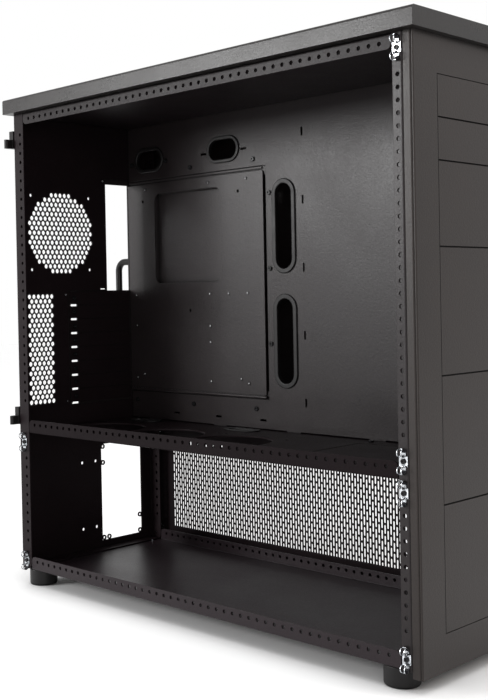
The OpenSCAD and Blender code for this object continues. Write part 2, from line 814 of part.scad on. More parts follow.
wall_z = mid_h + sheet + wall_gap;
wall_top = frame_h - sheet;
tray_open_front = tray_d + tray_gap_front;
grommet_v_d = tray_d + grommet_v_ahead;
tie_column_d = grommet_v_d + grommet_v_w / 2 + 11;
tie_ds = [tray_d * 0.3605, tray_d * 0.6704, tray_d - 6.5];

module board_wall() {
    wall_l = front_plate_d - 2 * sheet;
    color(ink) difference() {
        union() {
            block(wall_x, sheet, wall_z, sheet, wall_l, wall_top - wall_z);
            block(wall_x, sheet, wall_top - sheet, wall_flange, wall_l, sheet);
            for (i = [0:4]) {
                d = 40 + i * (wall_l - 80 - wall_tab_w) / 4;
                block(wall_x, d, wall_z - wall_gap, sheet, wall_tab_w, wall_gap + e);
                block(wall_x, d, wall_z - wall_gap, wall_flange, wall_tab_w, sheet);
            }
        }
        block(wall_x - e, 0, tray_z - tray_ledge_h - 1.5, sheet + 2 * e, tray_open_front,
            tray_h + tray_gap_top + tray_ledge_h + 1.5);
        for (i = [0, 1]) {
            round_slot_x(wall_x - e, grommet_h_d + i * grommet_h_pitch, grommet_h_z,
                grommet_h_len - 2 * grommet_lip, grommet_h_w - 2 * grommet_lip, sheet + 2 * e, false);
            round_slot_x(wall_x - e, grommet_v_d, grommet_v_z - i * grommet_v_pitch,
                grommet_v_len - 2 * grommet_lip, grommet_v_w - 2 * grommet_lip, sheet + 2 * e, true);
        }
        for (k = [0:4]) {
            block(wall_x - e, tie_column_d, grommet_h_z + 9 - k * tie_pitch - tie_slot_l / 2,
                sheet + 2 * e, tie_slot_w, tie_slot_l);
        }
        for (d = tie_ds) tie_slot_flat(d, tray_z - tie_under);
        for (s = [-38.5, 38.5]) tie_slot_flat(grommet_h_d + grommet_h_pitch + s, grommet_h_z - 3);
        for (p = wall_screw_places()) rod_x(wall_x - e, p[0], p[1], shank_r + shank_gap, sheet + 2 * e);
    }
}

module tie_slot_flat(d, h) {
    block(wall_x - e, d - tie_slot_l / 2, h - tie_slot_w / 2, sheet + 2 * e, tie_slot_l, tie_slot_w);
}

function upper_runner_places() = [for (q = upper_runner_screws) [q[0], tray_z + tray_h + q[1]]];
function lower_runner_places() = [for (q = lower_runner_screws) [q[0], tray_z + q[1]]];
function stop_bar_places() = [for (z = tray_screw_zs) [tray_screw_side, z]];
function wall_screw_places() = concat(upper_runner_places(), lower_runner_places(), stop_bar_places());

module runner_holes(places) {
    for (p = places) {
        rod_x(wall_x + sheet - e, p[0], p[1], shank_r + shank_gap, sheet + 2 * e);
    }
}

// The upper runner is a strip with a tab for each screw, clear of the cable grommets.
// A narrower strip on it fills part of the gap over the tray
module tray_runner_top() {
    color(ink) difference() {
        union() {
            block(wall_x + sheet, sheet + touch, runner_top_z, sheet, tray_screw_side + 3, runner_top_h);
            block(wall_x, sheet + touch, tray_z + tray_h + tray_strip_gap, sheet + e,
                tray_d - 2 * sheet - touch, tray_strip_h);
            for (p = upper_runner_places()) {
                block(wall_x + sheet, p[0] - 4.5, runner_top_z, sheet, 9, p[1] + 4.5 - runner_top_z);
            }
        }
        runner_holes(upper_runner_places());
    }
}

// The lower runner has a ledge that carries the tray's lower edge
module tray_runner_bottom() {
    color(ink) difference() {
        union() {
            block(wall_x + sheet, sheet + touch, runner_z, sheet, tray_screw_side + 3, runner_h);
            block(wall_x - sheet, sheet + touch, tray_z - tray_ledge_h, 2 * sheet + e, tray_d - 6,
                tray_ledge_h);
        }
        runner_holes(lower_runner_places());
    }
}

module tray_stop_bar() {
    color(ink) difference() {
        block(wall_x + sheet, tray_screw_side - 5, runner_z + runner_h, sheet, 10,
            runner_top_z - runner_z - runner_h);
        runner_holes(stop_bar_places());
    }
}

// Board tray: everything that slides out to the rear

tray_x = wall_x - tray_run;

module tray_plate() {
    color(ink) difference() {
        union() {
            block(tray_x, 0, tray_z, sheet, tray_d, tray_h);
            block(tray_x, 0, tray_z, tray_open_right - touch - tray_x, sheet, tray_h);
        }
        difference() {
            block(tray_x - e, cpu_d, cpu_z, sheet + 2 * e, cpu_w, cpu_h);
            for (sd = [0, 1], sh = [0, 1]) {
                corner_cut_x(tray_x - 2 * e, cpu_d + sd * cpu_w, cpu_z + sh * cpu_h, cpu_r,
                    sheet + 4 * e, 1 - 2 * sd, 1 - 2 * sh);
            }
        }
        for (s = [0, 1]) {
            corner_cut_x(tray_x - e, tray_d, tray_z + s * tray_h, tray_corner_r, sheet + 2 * e, -1, 1 - 2 * s);
        }
        for (q = board_inserts) board_point(q) rod_plain(insert_r, -e);
        for (q = board_holes) board_point(q) rod_plain(fan_screw_r, -e);
        for (p = cpu_cover_screws()) rod_x(tray_x + 0.6, p[0], p[1], shank_r + shank_gap, sheet);
        for (h = flange_screw_hs()) rod_d(handle_x, -e, h, shank_r + shank_gap, sheet + 2 * e);
    }
}

module board_point(q) {
    at(tray_x, board_d + q[0] * inch, board_top - q[1] * inch) rotate([0, 90, 0]) children();
}

module rod_plain(r, from) {
    translate([0, 0, from]) cylinder(r = r, h = sheet - 2 * from);
}

// Inserts pressed into the tray, each with a threaded hole
module threaded_inserts() {
    color(zinc) for (q = board_inserts) {
        board_point(q) difference() {
            translate([0, 0, -insert_h]) cylinder(r = insert_r, h = sheet + insert_h);
            translate([0, 0, -insert_h - e]) cylinder(r = insert_r - 1, h = sheet + insert_h + 2 * e);
        }
    }
}

function cpu_cover_screws() = [
    for (a = [-cpu_cover_rim / 2, cpu_w + cpu_cover_rim / 2], b = [0.2, 0.8])
        [cpu_d + a, cpu_z + b * cpu_h]
];

// A shallow dish screwed behind the processor opening
module processor_opening_cover() {
    x = tray_x + sheet;
    rim = cpu_cover_rim;
    color(ink_dark) difference() {
        union() {
            block(x, cpu_d - rim, cpu_z - rim, 1, cpu_w + 2 * rim, cpu_h + 2 * rim);
            block(x, cpu_d, cpu_z, cpu_cover_deep, cpu_w, cpu_h);
        }
        block(x - e, cpu_d + 1, cpu_z + 1, cpu_cover_deep - 1 + e, cpu_w - 2, cpu_h - 2);
        for (p = cpu_cover_screws()) rod_x(x - e, p[0], p[1], shank_r + shank_gap, 1 + 2 * e);
    }
}

module tray_rear_plate() {
    lap = io_lap;
    color(ink) difference() {
        union() {
            block(slot_zone_x - lap, -sheet, tray_open_z - lap, tray_open_right - slot_zone_x + 2 * lap,
                sheet, io_step_z - tray_open_z + 2 * lap);
            block(io_zone_x - lap, -sheet, io_step_z, tray_open_right - io_zone_x + 2 * lap, sheet,
                tray_open_top - io_step_z + lap);
        }
        relief_slot(-sheet - e);
        block(io_x, -sheet - e, io_z, io_w, sheet + 2 * e, io_h);
        for (k = [0:slots - 1]) {
            h = slot_top - k * slot_pitch;
            block(slot_open_x, -sheet - e, h - slot_open_h / 2, slot_open_l, sheet + 2 * e, slot_open_h);
            block(slot_notch_x, -sheet - e, h - slot_pitch / 2 - slot_notch_h / 2, slot_notch_l,
                sheet + 2 * e, slot_notch_h);
            rod_d(slot_screw_x, -sheet - e, h, shank_r + shank_gap, sheet + 2 * e);
        }
        for (p = thumb_places()) rod_d(p[0], -sheet - e, p[1], shank_r + shank_gap, sheet + 2 * e);
        for (h = flange_screw_hs()) rod_d(handle_x, -sheet - e, h, shank_r + shank_gap, sheet + 2 * e);
    }
}

slot_screw_x = slot_notch_x + slot_notch_l / 2;

module slot_cover(k) {
    h = slot_top - k * slot_pitch;
    hh = slot_pitch - slot_cover_gap;
    n = (slot_notch_h - slot_cover_gap) / 2;
    color(ink_dark) difference() {
        block(slot_cover_x, 0, h - hh / 2, slot_cover_l, slot_cover_t, hh);
        for (s = [0, 1]) {
            block(slot_notch_x, -e, h - hh / 2 - e + s * (hh - n + 2 * e) - s * e, slot_notch_l,
                slot_cover_t + 2 * e, n + e);
        }
        rod_d(slot_screw_x, -e, h, shank_r + shank_gap, slot_cover_t + 2 * e);
    }
}

// A pan-head screw with its head at the origin, its shank pointing to +z
module screw(l, hr = head_r, hh = head_h) {
    difference() {
        union() {
            translate([0, 0, -hh]) cylinder(r = hr, h = hh);
            cylinder(r = shank_r, h = l);
        }
        translate([0, 0, -hh - e]) cylinder(r = hr * 0.45, h = hh * 0.6, $fn = 6);
    }
}

module slot_screws() {
    color(zinc) for (k = [0:slots - 1]) {
        at(slot_screw_x, slot_cover_t, slot_top - k * slot_pitch) rotate([-90, 0, 0]) {
            screw(slot_cover_t + sheet, head_r - 0.2);
        }
    }
}

function thumb_places() = [
    [io_zone_x - io_lap / 2, tray_open_top - 4], [tray_open_right + io_lap / 2, tray_open_top - 4],
    [slot_zone_x - io_lap / 2, io_step_z - 6], [slot_zone_x - io_lap / 2, tray_open_z + 6],
    [tray_open_right + io_lap / 2, tray_open_z + 6],
];

// Knurled thumbscrews that hold the tray's rear plate, drawn as short ribbed cylinders
module tray_thumbscrews() {
    color(zinc) for (p = thumb_places()) {
        at(p[0], -sheet, p[1]) rotate([90, 0, 0]) {
            translate([0, 0, -6]) cylinder(r = 3.6, h = 6);
            cylinder(r = shank_r, h = 2 * sheet + 1);
        }
    }
}

function handle_ends() = [handle_top - handle_r, handle_top - handle_l + handle_r];
function flange_screw_hs() = concat(handle_ends(), [tray_z + 16, tray_z + tray_h - 16]);

// Screws of the tray: two hold the handle, two more hold the tray's flange to its rear plate,
// and four hold the cover behind the processor opening
module tray_screws() {
    z = flange_screw_hs();
    color(zinc) {
        for (i = [0:3]) {
            at(handle_x, sheet, z[i]) rotate([-90, 0, 0]) screw(2 * sheet + (i < 2 ? 8 : 0));
        }
        for (p = cpu_cover_screws()) at(tray_x + sheet + 1, p[0], p[1]) rotate([0, -90, 0]) screw(2.2);
    }
}

// U-shaped pull handle: a bar with two bends, screwed on from inside
module tray_handle() {
    z = handle_ends();
    color(ink_dark) difference() {
        union() {
            for (s = [0, 1]) {
                rod_d(handle_x, -sheet - handle_out + handle_bend, z[s], handle_r, handle_out - handle_bend);
                at(handle_x, -sheet - handle_out + handle_bend, z[s] + (s == 0 ? -1 : 1) * handle_bend) {
                    handle_elbow(s);
                }
            }
            rod_h(handle_x, -sheet - handle_out, z[1] + handle_bend, handle_r, z[0] - z[1] - 2 * handle_bend);
        }
        for (s = [0, 1]) rod_d(handle_x, -sheet - 10, z[s], shank_r + shank_gap, 10 + e);
    }
}

// A quarter bend from level to upright; s is 0 for the top end and 1 for the bottom one
module handle_elbow(s) {
    mirror([0, 0, s]) rotate([0, -90, 0]) rotate_extrude(angle = 90) {
        translate([handle_bend, 0]) circle(r = handle_r);
    }
}

// Rubber cable grommets

// A grommet in a wall across x: two lips and a sleeve, with the opening through it
module grommet_x(d, h, len, w, along_h) {
    lip = grommet_lip + touch / 2;
    rim = along_h ? grommet_rim : grommet_h_rim;
    color(rubber) difference() {
        union() {
            round_slot_x(wall_x - grommet_t, d, h, len, w, grommet_t, along_h);
            round_slot_x(wall_x - e, d, h, len - 2 * lip, w - 2 * lip, sheet + 2 * e, along_h);
            round_slot_x(wall_x + sheet, d, h, len - 1, w - 1, grommet_t - 0.6, along_h);
        }
        round_slot_x(wall_x - grommet_t - e, d, h, len - 2 * rim, w - 2 * rim,
            sheet + 2 * grommet_t + 2 * e, along_h);
    }
}

module cable_grommet(i) {
    if (i < 2) grommet_x(grommet_h_d + i * grommet_h_pitch, grommet_h_z, grommet_h_len, grommet_h_w, false);
    else grommet_x(grommet_v_d, grommet_v_z - (i - 2) * grommet_v_pitch, grommet_v_len, grommet_v_w, true);
}

module mid_plate_grommets() {
    lip = grommet_lip + touch / 2;
    color(rubber) for (d = mid_grommet_ds()) difference() {
        union() {
            round_slot_h(mid_grommet_x, d, mid_h + sheet, mid_grommet_len, mid_grommet_w, 1.4);
            round_slot_h(mid_grommet_x, d, mid_h - e, mid_grommet_len - 2 * lip,
                mid_grommet_w - 2 * lip, sheet + 2 * e);
            round_slot_h(mid_grommet_x, d, mid_h - 1.4, mid_grommet_len, mid_grommet_w, 1.4);
        }
        round_slot_h(mid_grommet_x, d, mid_h - 1.4 - e, mid_grommet_len - 2 * grommet_rim,
            mid_grommet_w - 2 * grommet_rim, sheet + 3);
    }
}

// Right doors

// A door: a sheet with its four edges folded in, and studs that plug into the spring clips
module door_shell(h0, h1, studs) {
    x = right_face + touch;
    t = door_t - touch;
    difference() {
        block(x, 0, h0, t, case_d, h1 - h0);
        block(x - e, sheet, h0 + sheet, t - sheet + e, case_d - 2 * sheet, h1 - h0 - 2 * sheet);
    }
    for (p = studs) rod_x(right_face + 3, p[0], p[1], stud_r, door_t - 3 - sheet + e);
}

module upper_right_door() {
    color(ink) {
        door_shell(door_split + door_gap, door_top_z, [for (i = [0, 1]) [clip_front_d, clip_zs[i]]]);
        for (h = [hinge_top_z, hinge_low_z]) door_knuckle(h + hinge_arm_h);
    }
}

// The door's half of a hinge: a knuckle on the door's rear edge with a pin pointing down
module door_knuckle(h) {
    l = hinge_h - hinge_arm_h;
    x = right_face + hinge_out;
    rod_h(x, -hinge_back, h, hinge_r, l);
    block(x - hinge_r, -hinge_back, h, 2 * hinge_r, hinge_back + e, l);
    rod_h(x, -hinge_back, h - hinge_arm_h + 1, pin_r, hinge_arm_h - 1 + e);
}

module lower_right_door() {
    studs = [for (i = [2, 3], d = [clip_rear_d, clip_front_d]) [d, clip_zs[i]]];
    step = door_vent_l / door_vent_cols;
    color(ink) difference() {
        door_shell(door_low_z, door_split, studs);
        for (c = [0:door_vent_cols - 1]) {
            odd = c % 2;
            n = door_vent_rows - odd;
            for (k = [0:n - 1]) {
                block(right_face + door_t - sheet - e, door_vent_in + (c + 0.5) * step - door_slot_w / 2,
                    door_vent_z + (k + odd / 2) * door_vent_row_pitch, sheet + 2 * e, door_slot_w,
                    door_slot_l);
            }
        }
    }
}

// Hinges on the frame

// Fixed half of a lift-off hinge; side is -1 on the left and 1 on the right
module frame_hinge(side, h) {
    x0 = side < 0 ? 0 : case_w;
    ax = x0 + side * hinge_out;
    thick = 2 * hinge_r;
    color(ink_dark) difference() {
        union() {
            block(side < 0 ? x0 - 1 : x0 - 12.5, -3, h, 13.5, 3, hinge_h);
            block(side < 0 ? x0 - 1 : x0 - 8, -hinge_back - hinge_r, h, 9, thick + 1.5 - 3 + e, hinge_h);
            rod_h(ax, -hinge_back, h, hinge_r, hinge_arm_h);
            block(side < 0 ? ax : x0, -hinge_back - hinge_r, h, hinge_out, thick, hinge_arm_h);
        }
        rod_h(ax, -hinge_back, h - e, pin_r + pin_gap, hinge_arm_h + 2 * e);
    }
}

// Spring clips

// Side view of one clip: the flange is at x = 0, the loops stand out to +x, y is up.
// Each arm curls away from the base, round a loop and back towards the stud between the loops
module clip_profile() {
    r = clip_loop_r;
    polygon(concat(
        arc_points(r, clip_loop_z, r, -55, 180, 14),
        arc_points(r, -clip_loop_z, r, 180, 415, 14),
        arc_points(r, -clip_loop_z, r - clip_t, 415, 180, 14),
        arc_points(r, clip_loop_z, r - clip_t, 180, -55, 14)
    ));
}

// A spring clip on a flange; side is -1 on the left and 1 on the right
module spring_clip(side, d, h) {
    x = side < 0 ? 0 : case_w;
    window_z = clip_loop_z - clip_loop_r * 0.5;
    color(zinc) at(x, d + clip_w / 2, h) mirror([side < 0 ? 1 : 0, 0, 0]) {
        difference() {
            rotate([90, 0, 0]) mirror([0, 0, 1]) linear_extrude(height = clip_w) clip_profile();
            for (s = [0, 1]) mirror([0, 0, s]) {
                translate([clip_t + 0.3, (clip_w - clip_window) / 2, window_z]) {
                    cube([2 * clip_loop_r, clip_window, 2 * clip_loop_r]);
                }
            }
            translate([-e, clip_w / 2, 0]) rotate([0, 90, 0]) cylinder(r = shank_r + shank_gap, h = 2);
        }
    }
}

function clip_places() = concat(
    [for (i = [0:3]) [clip_front_d, clip_zs[i]]], [for (i = [2, 3]) [clip_rear_d, clip_zs[i]]]
);

module right_spring_clips() {
    for (p = clip_places()) spring_clip(1, p[0], p[1]);
}

module clip_screw_holes(d, which, left) {
    for (i = which) {
        rod_x(left ? -e : case_w - sheet - e, d, clip_zs[i], shank_r + shank_gap, sheet + 2 * e);
    }
}

module clip_screws() {
    color(ink_dark) for (p = clip_places()) {
        at(-clip_t, p[0], p[1]) rotate([0, 90, 0]) screw(clip_t + sheet + 1, 2.6, 1.6);
        at(case_w + clip_t, p[0], p[1]) rotate([0, -90, 0]) screw(clip_t + sheet + 1, 2.6, 1.2);
    }
}

// Screws through the board wall into the runners, of the mid plate's cover and of the bay covers
module chassis_screws() {
    color(zinc) {
        for (p = wall_screw_places()) {
            at(wall_x, p[0], p[1]) rotate([0, 90, 0]) screw(2 * sheet + 1);
        }
        for (p = mid_cover_screws()) {
            at(p[0], p[1], mid_h + sheet) rotate([180, 0, 0]) screw(2 * sheet + 1);
        }
        for (p = bay_screw_places()) {
            at(bay_x + bay_gap / 2 - sheet, p[0], p[1]) rotate([0, 90, 0]) screw(2 * sheet + 1);
            at(bay_x + bay_w - bay_gap / 2 + sheet, p[0], p[1]) rotate([0, -90, 0]) screw(2 * sheet + 1);
        }
    }
}

// Feet

function foot_places() = [
    for (x = [foot_in, case_w - foot_in], d = [foot_rear, case_d - foot_front]) [x, d]
];

module foot(i) {
    p = foot_places()[i];
    r = foot_d / 2;
    color(rubber) at(p[0], p[1], -foot_h) difference() {
        rotate_extrude() polygon(concat(
            [[0, 0]], arc_points(r - 3, 3, 3, 270, 360), arc_points(r - 1, foot_h - 1, 1, 0, 90),
            [[0, foot_h]]
        ));
        translate([0, 0, -e]) cylinder(r = 6, h = 12 + e);
        cylinder(r = shank_r + shank_gap, h = foot_h + e);
    }
}

module foot_screws() {
    color(zinc) for (p = foot_places()) {
        at(p[0], p[1], 12 - foot_h) screw(foot_h - 12 + sheet + 2, 4.5, 2.4);
    }
}

floor_pan();
rear_panel();
ceiling_panel();
mid_plate();
mid_plate_cover();
front_frame();
front_shell();
front_plate();
for (i = [0:5]) bay_cover(i);
top_cover();
board_wall();
tray_runner_top();
tray_runner_bottom();
tray_stop_bar();
tray_plate();
tray_rear_plate();
processor_opening_cover();
tray_handle();
threaded_inserts();
slot_screws();
tray_screws();
tray_thumbscrews();
for (i = [0:slots - 1]) slot_cover(i);
for (i = [0:3]) cable_grommet(i);
mid_plate_grommets();
upper_right_door();
lower_right_door();
frame_hinge(-1, hinge_top_z);  // left_hinge_upper
frame_hinge(-1, hinge_low_z);  // left_hinge_lower
frame_hinge(1, hinge_top_z);  // right_hinge_upper
frame_hinge(1, hinge_low_z);  // right_hinge_lower
for (i = [0:5]) union() {
    spring_clip(-1, clip_places()[i][0], clip_places()[i][1]);
}
right_spring_clips();
clip_screws();
chassis_screws();
for (i = [0:3]) foot(i);
foot_screws();
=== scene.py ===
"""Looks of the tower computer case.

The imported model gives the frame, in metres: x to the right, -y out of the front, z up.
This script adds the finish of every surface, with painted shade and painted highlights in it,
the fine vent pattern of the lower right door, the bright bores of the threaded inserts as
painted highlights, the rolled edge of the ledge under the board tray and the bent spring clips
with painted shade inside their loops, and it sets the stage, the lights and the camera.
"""

import math

import bmesh
import bpy
from mathutils import Matrix, Vector


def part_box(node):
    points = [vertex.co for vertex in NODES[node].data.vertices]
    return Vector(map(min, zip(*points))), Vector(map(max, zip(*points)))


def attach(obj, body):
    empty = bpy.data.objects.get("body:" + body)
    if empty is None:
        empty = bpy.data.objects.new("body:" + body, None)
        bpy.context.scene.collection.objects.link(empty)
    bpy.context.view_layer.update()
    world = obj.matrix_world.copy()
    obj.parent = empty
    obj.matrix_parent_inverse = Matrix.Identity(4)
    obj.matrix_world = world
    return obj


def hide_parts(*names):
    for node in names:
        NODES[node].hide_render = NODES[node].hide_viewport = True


MM = 0.001

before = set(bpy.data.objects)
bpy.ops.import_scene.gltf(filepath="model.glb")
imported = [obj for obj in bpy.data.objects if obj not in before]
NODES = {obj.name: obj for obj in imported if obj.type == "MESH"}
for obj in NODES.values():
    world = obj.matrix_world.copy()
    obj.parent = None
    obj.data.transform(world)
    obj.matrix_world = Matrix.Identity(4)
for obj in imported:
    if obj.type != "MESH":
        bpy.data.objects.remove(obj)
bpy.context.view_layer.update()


# ------------------------------------------------- places worked out from the frame

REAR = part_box("rear_panel")
LEFT_X = REAR[0].x  # outer face of the left flanges
REAR_Y = REAR[1].y  # outer face of the rear panel
BASE_Z = REAR[0].z  # underside of the frame


def place(x, d, h):
    """The point x mm right of the left flanges, d mm forward of the rear and h mm up the frame."""
    return Vector((LEFT_X + x * MM, REAR_Y - d * MM, BASE_Z + h * MM))


# ------------------------------------------------- materials

MIX_A, MIX_B, MIX_RESULT = 6, 7, 2  # the Mix node's colour sockets


class Shader:
    """A node material under construction, with short calls for the nodes that materials share."""

    def __init__(self, name):
        self.material = bpy.data.materials.new(name)
        self.material.use_nodes = True
        self.tree = self.material.node_tree
        self.tree.nodes.clear()
        self.output = self.add("ShaderNodeOutputMaterial")
        self.bsdf = self.add("ShaderNodeBsdfPrincipled")
        self.link(self.bsdf.outputs[0], self.output.inputs[0])
        self.coords = self.add("ShaderNodeTexCoord").outputs["Object"]

    def add(self, kind, **settings):
        node = self.tree.nodes.new(kind)
        for key, value in settings.items():
            setattr(node, key, value)
        return node

    def link(self, a, b):
        self.tree.links.new(a, b)

    def noise(self, scale, detail, roughness=0.5, stretch=None):
        """Noise from 0 to 1, with spots of about 1/scale metres."""
        node = self.add("ShaderNodeTexNoise")
        node.inputs["Scale"].default_value = scale
        node.inputs["Detail"].default_value = detail
        node.inputs["Roughness"].default_value = roughness
        source = self.coords
        if stretch:
            mapping = self.add("ShaderNodeMapping")
            mapping.inputs["Scale"].default_value = stretch
            self.link(source, mapping.inputs["Vector"])
            source = mapping.outputs[0]
        self.link(source, node.inputs["Vector"])
        return node.outputs["Fac"]

    def remap(self, value, low, high, start=0.3, end=0.7):
        """value from start..end turned into low..high. Most noise lies within 0.3..0.7."""
        node = self.add("ShaderNodeMapRange")
        node.inputs["From Min"].default_value = start
        node.inputs["From Max"].default_value = end
        node.inputs["To Min"].default_value = low
        node.inputs["To Max"].default_value = high
        self.link(value, node.inputs["Value"])
        return node.outputs[0]

    def math(self, operation, a, b):
        node = self.add("ShaderNodeMath", operation=operation)
        for socket, value in zip(node.inputs, (a, b)):
            if isinstance(value, (int, float)):
                socket.default_value = value
            else:
                self.link(value, socket)
        return node.outputs[0]

    def mix(self, factor, a, b):
        """Colour a turned into colour b by factor."""
        node = self.add("ShaderNodeMix", data_type="RGBA")
        self.link(factor, node.inputs["Factor"])
        for socket, value in ((node.inputs[MIX_A], a), (node.inputs[MIX_B], b)):
            if isinstance(value, tuple):
                socket.default_value = (*value, 1.0)
            else:
                self.link(value, socket)
        return node.outputs[MIX_RESULT]

    def bump(self, height, strength, distance, normal):
        """The given normal, tilted by a height map of the given depth in metres."""
        node = self.add("ShaderNodeBump")
        node.inputs["Strength"].default_value = strength
        node.inputs["Distance"].default_value = distance
        self.link(height, node.inputs["Height"])
        self.link(normal, node.inputs["Normal"])
        return node.outputs[0]

    def rounded_edges(self, radius):
        """A normal that rounds sharp edges to a small radius."""
        node = self.add("ShaderNodeBevel", samples=6)
        node.inputs["Radius"].default_value = radius
        return node.outputs[0]

    def edge_mask(self, rounded):
        """1 on a rounded edge, 0 on a face."""
        geometry = self.add("ShaderNodeNewGeometry")
        dot = self.add("ShaderNodeVectorMath", operation="DOT_PRODUCT")
        self.link(rounded, dot.inputs[0])
        self.link(geometry.outputs["Normal"], dot.inputs[1])
        return self.remap(dot.outputs["Value"], 1.0, 0.0, start=0.80, end=0.995)

    def cavity(self, distance):
        """0 deep in a gap or corner, 1 in the open."""
        node = self.add("ShaderNodeAmbientOcclusion", samples=5)
        node.inputs["Distance"].default_value = distance
        return self.remap(node.outputs["AO"], 0.0, 1.0, start=0.35, end=0.85)

    def dull_in_gaps(self, open_air, rough):
        """Roughness that rises to 1 where open_air, a cavity mask, falls to 0."""
        return self.math("MAXIMUM", rough, self.remap(open_air, 0.95, 0.0, start=0.0, end=1.0))

    def set(self, **values):
        """Sets or links inputs of the surface shader by name, with _ for a space."""
        for key, value in values.items():
            socket = self.bsdf.inputs[key.replace("_", " ")]
            if isinstance(value, bpy.types.NodeSocket):
                self.link(value, socket)
            elif isinstance(value, tuple):
                socket.default_value = (*value, 1.0)
            else:
                socket.default_value = value


def shade(color, factor, lift=0.0):
    """A colour times factor, plus lift."""
    return tuple(c * factor + lift for c in color)


def powder_coat(name, color, roughness, specular=0.21, edge=0.5 * MM, edge_highlight=0.35, gap=3.5 * MM):
    """Fine-textured powder coat: grain, orange peel, tone changes, painted highlights on the edges,
    painted shade in gaps.

    edge is the radius of the sheet's edges, the argument after it how light the painted highlight
    on those edges is, and gap how wide a gap still gets painted shade.
    """
    s = Shader(name)
    rounded = s.rounded_edges(edge)
    grain = s.noise(scale=1900, detail=3.0, roughness=0.6)
    peel = s.noise(scale=430, detail=3.0, roughness=0.65)
    cloud = s.noise(scale=14, detail=3.0)
    open_air = s.cavity(gap)
    dark, light, painted_highlight = shade(color, 0.82), shade(color, 1.2), shade(color, 1.9, lift=0.01)
    tone = s.math("ADD", s.math("MULTIPLY", cloud, 0.4), s.math("MULTIPLY", peel, 0.6))
    base = s.mix(s.remap(tone, 0, 1, start=0.35, end=0.65), dark, light)
    # Painted highlight: the rounded edges are lightened towards a brighter copy of the colour.
    base = s.mix(s.math("MULTIPLY", s.edge_mask(rounded), edge_highlight), base, painted_highlight)
    # Painted shade: deep in gaps and corners the colour falls to 8 per cent of itself.
    base = s.mix(open_air, shade(color, 0.08), base)
    by_cloud = s.remap(cloud, roughness - 0.03, roughness + 0.03)
    rough = s.math("ADD", by_cloud, s.remap(peel, -0.04, 0.04))
    height = s.math("ADD", s.math("MULTIPLY", grain, 0.25), peel)
    normal = s.bump(height, strength=0.4, distance=0.0004, normal=rounded)
    s.set(Base_Color=base, Roughness=s.dull_in_gaps(open_air, rough))
    s.set(Normal=normal, Specular_IOR_Level=specular)
    return s.material


def satin_black(name, color, roughness, specular):
    """Smooth satin lacquer with faint orange peel and painted highlights on its edges."""
    s = Shader(name)
    rounded = s.rounded_edges(0.5 * MM)
    peel = s.noise(scale=420, detail=2.0)
    cloud = s.noise(scale=30, detail=2.0)
    # Painted highlight: the rounded edges are lightened to about twice the colour.
    base = s.mix(s.edge_mask(rounded), color, shade(color, 2.0, lift=0.006))
    normal = s.bump(peel, strength=0.12, distance=0.0002, normal=rounded)
    s.set(Base_Color=base, Roughness=s.remap(cloud, roughness - 0.05, roughness + 0.07))
    s.set(Normal=normal, Specular_IOR_Level=specular)
    return s.material


def rubber(name, color, specular):
    """Moulded rubber: fine matt grain, faint dust on top faces, and painted shade that turns it
    black in the depth of its hole.
    """
    s = Shader(name)
    rounded = s.rounded_edges(0.6 * MM)
    grain = s.noise(scale=1500, detail=3.0, roughness=0.6)
    cloud = s.noise(scale=60, detail=3.0)
    open_air = s.cavity(6 * MM)
    geometry = s.add("ShaderNodeNewGeometry")
    split = s.add("ShaderNodeSeparateXYZ")
    s.link(geometry.outputs["Normal"], split.inputs[0])
    faces_up = s.remap(split.outputs["Z"], 0.0, 0.5, start=0.2, end=1.0)
    base = s.mix(s.math("MULTIPLY", faces_up, cloud), color, shade(color, 1.0, lift=0.02))
    # Painted shade: deep in the hole the colour falls to 15 per cent of itself.
    base = s.mix(open_air, shade(color, 0.15), base)
    normal = s.bump(grain, strength=0.25, distance=0.00012, normal=rounded)
    s.set(Base_Color=base, Roughness=s.dull_in_gaps(open_air, s.remap(cloud, 0.34, 0.46)))
    s.set(Normal=normal, Specular_IOR_Level=specular)
    return s.material


def plated(name, color, roughness, depth):
    """Plated metal: fine rolling marks, dull patches and painted shade in hollows, which darkens
    over depth.
    """
    s = Shader(name)
    rounded = s.rounded_edges(0.3 * MM)
    marks = s.noise(scale=900, detail=2.0, roughness=0.5, stretch=(1.0, 1.0, 0.15))
    cloud = s.noise(scale=260, detail=3.0)
    open_air = s.cavity(depth)
    base = s.mix(s.remap(cloud, 0, 1, start=0.42, end=0.58), shade(color, 0.55), color)
    # Painted shade: deep in hollows the colour falls to 5 per cent of itself.
    base = s.mix(open_air, shade(color, 0.05), base)
    rough = s.remap(cloud, roughness - 0.06, roughness + 0.12)
    s.set(Base_Color=base, Metallic=1.0, Roughness=rough)
    s.set(Normal=s.bump(marks, strength=0.15, distance=0.0001, normal=rounded))
    return s.material


# The coat's tone and gloss differ a little from sheet to sheet, as in the photograph; some copies
# are painted shade or painted light.
# After the name come the colour and the roughness.
COAT = powder_coat("powder_coat_charcoal", (0.0186, 0.0146, 0.0154), 0.33)
COAT_TOP = powder_coat("powder_coat_cap", (0.0185, 0.0162, 0.0156), 0.31, specular=0.30, edge_highlight=0.2)
# Painted shade: the ceiling's copy is darker and less glossy, for the little light inside the case.
COAT_CEILING_SHADED = powder_coat("powder_coat_ceiling_painted_shade", (0.0135, 0.0098, 0.0108), 0.36, specular=0.13)
COAT_FRONT = powder_coat(
    "powder_coat_front", (0.0245, 0.0190, 0.0172), 0.38,
    specular=0.24, edge=0.3 * MM, edge_highlight=0.1, gap=9 * MM,
)
# Painted light: the processor opening's cover gets a lighter, glossier copy of the coat against the
# shade in its recess.
COAT_RECESS_LIT = powder_coat(
    "powder_coat_recess_painted_light", (0.0205, 0.0160, 0.0170), 0.36, specular=0.34, gap=9 * MM
)
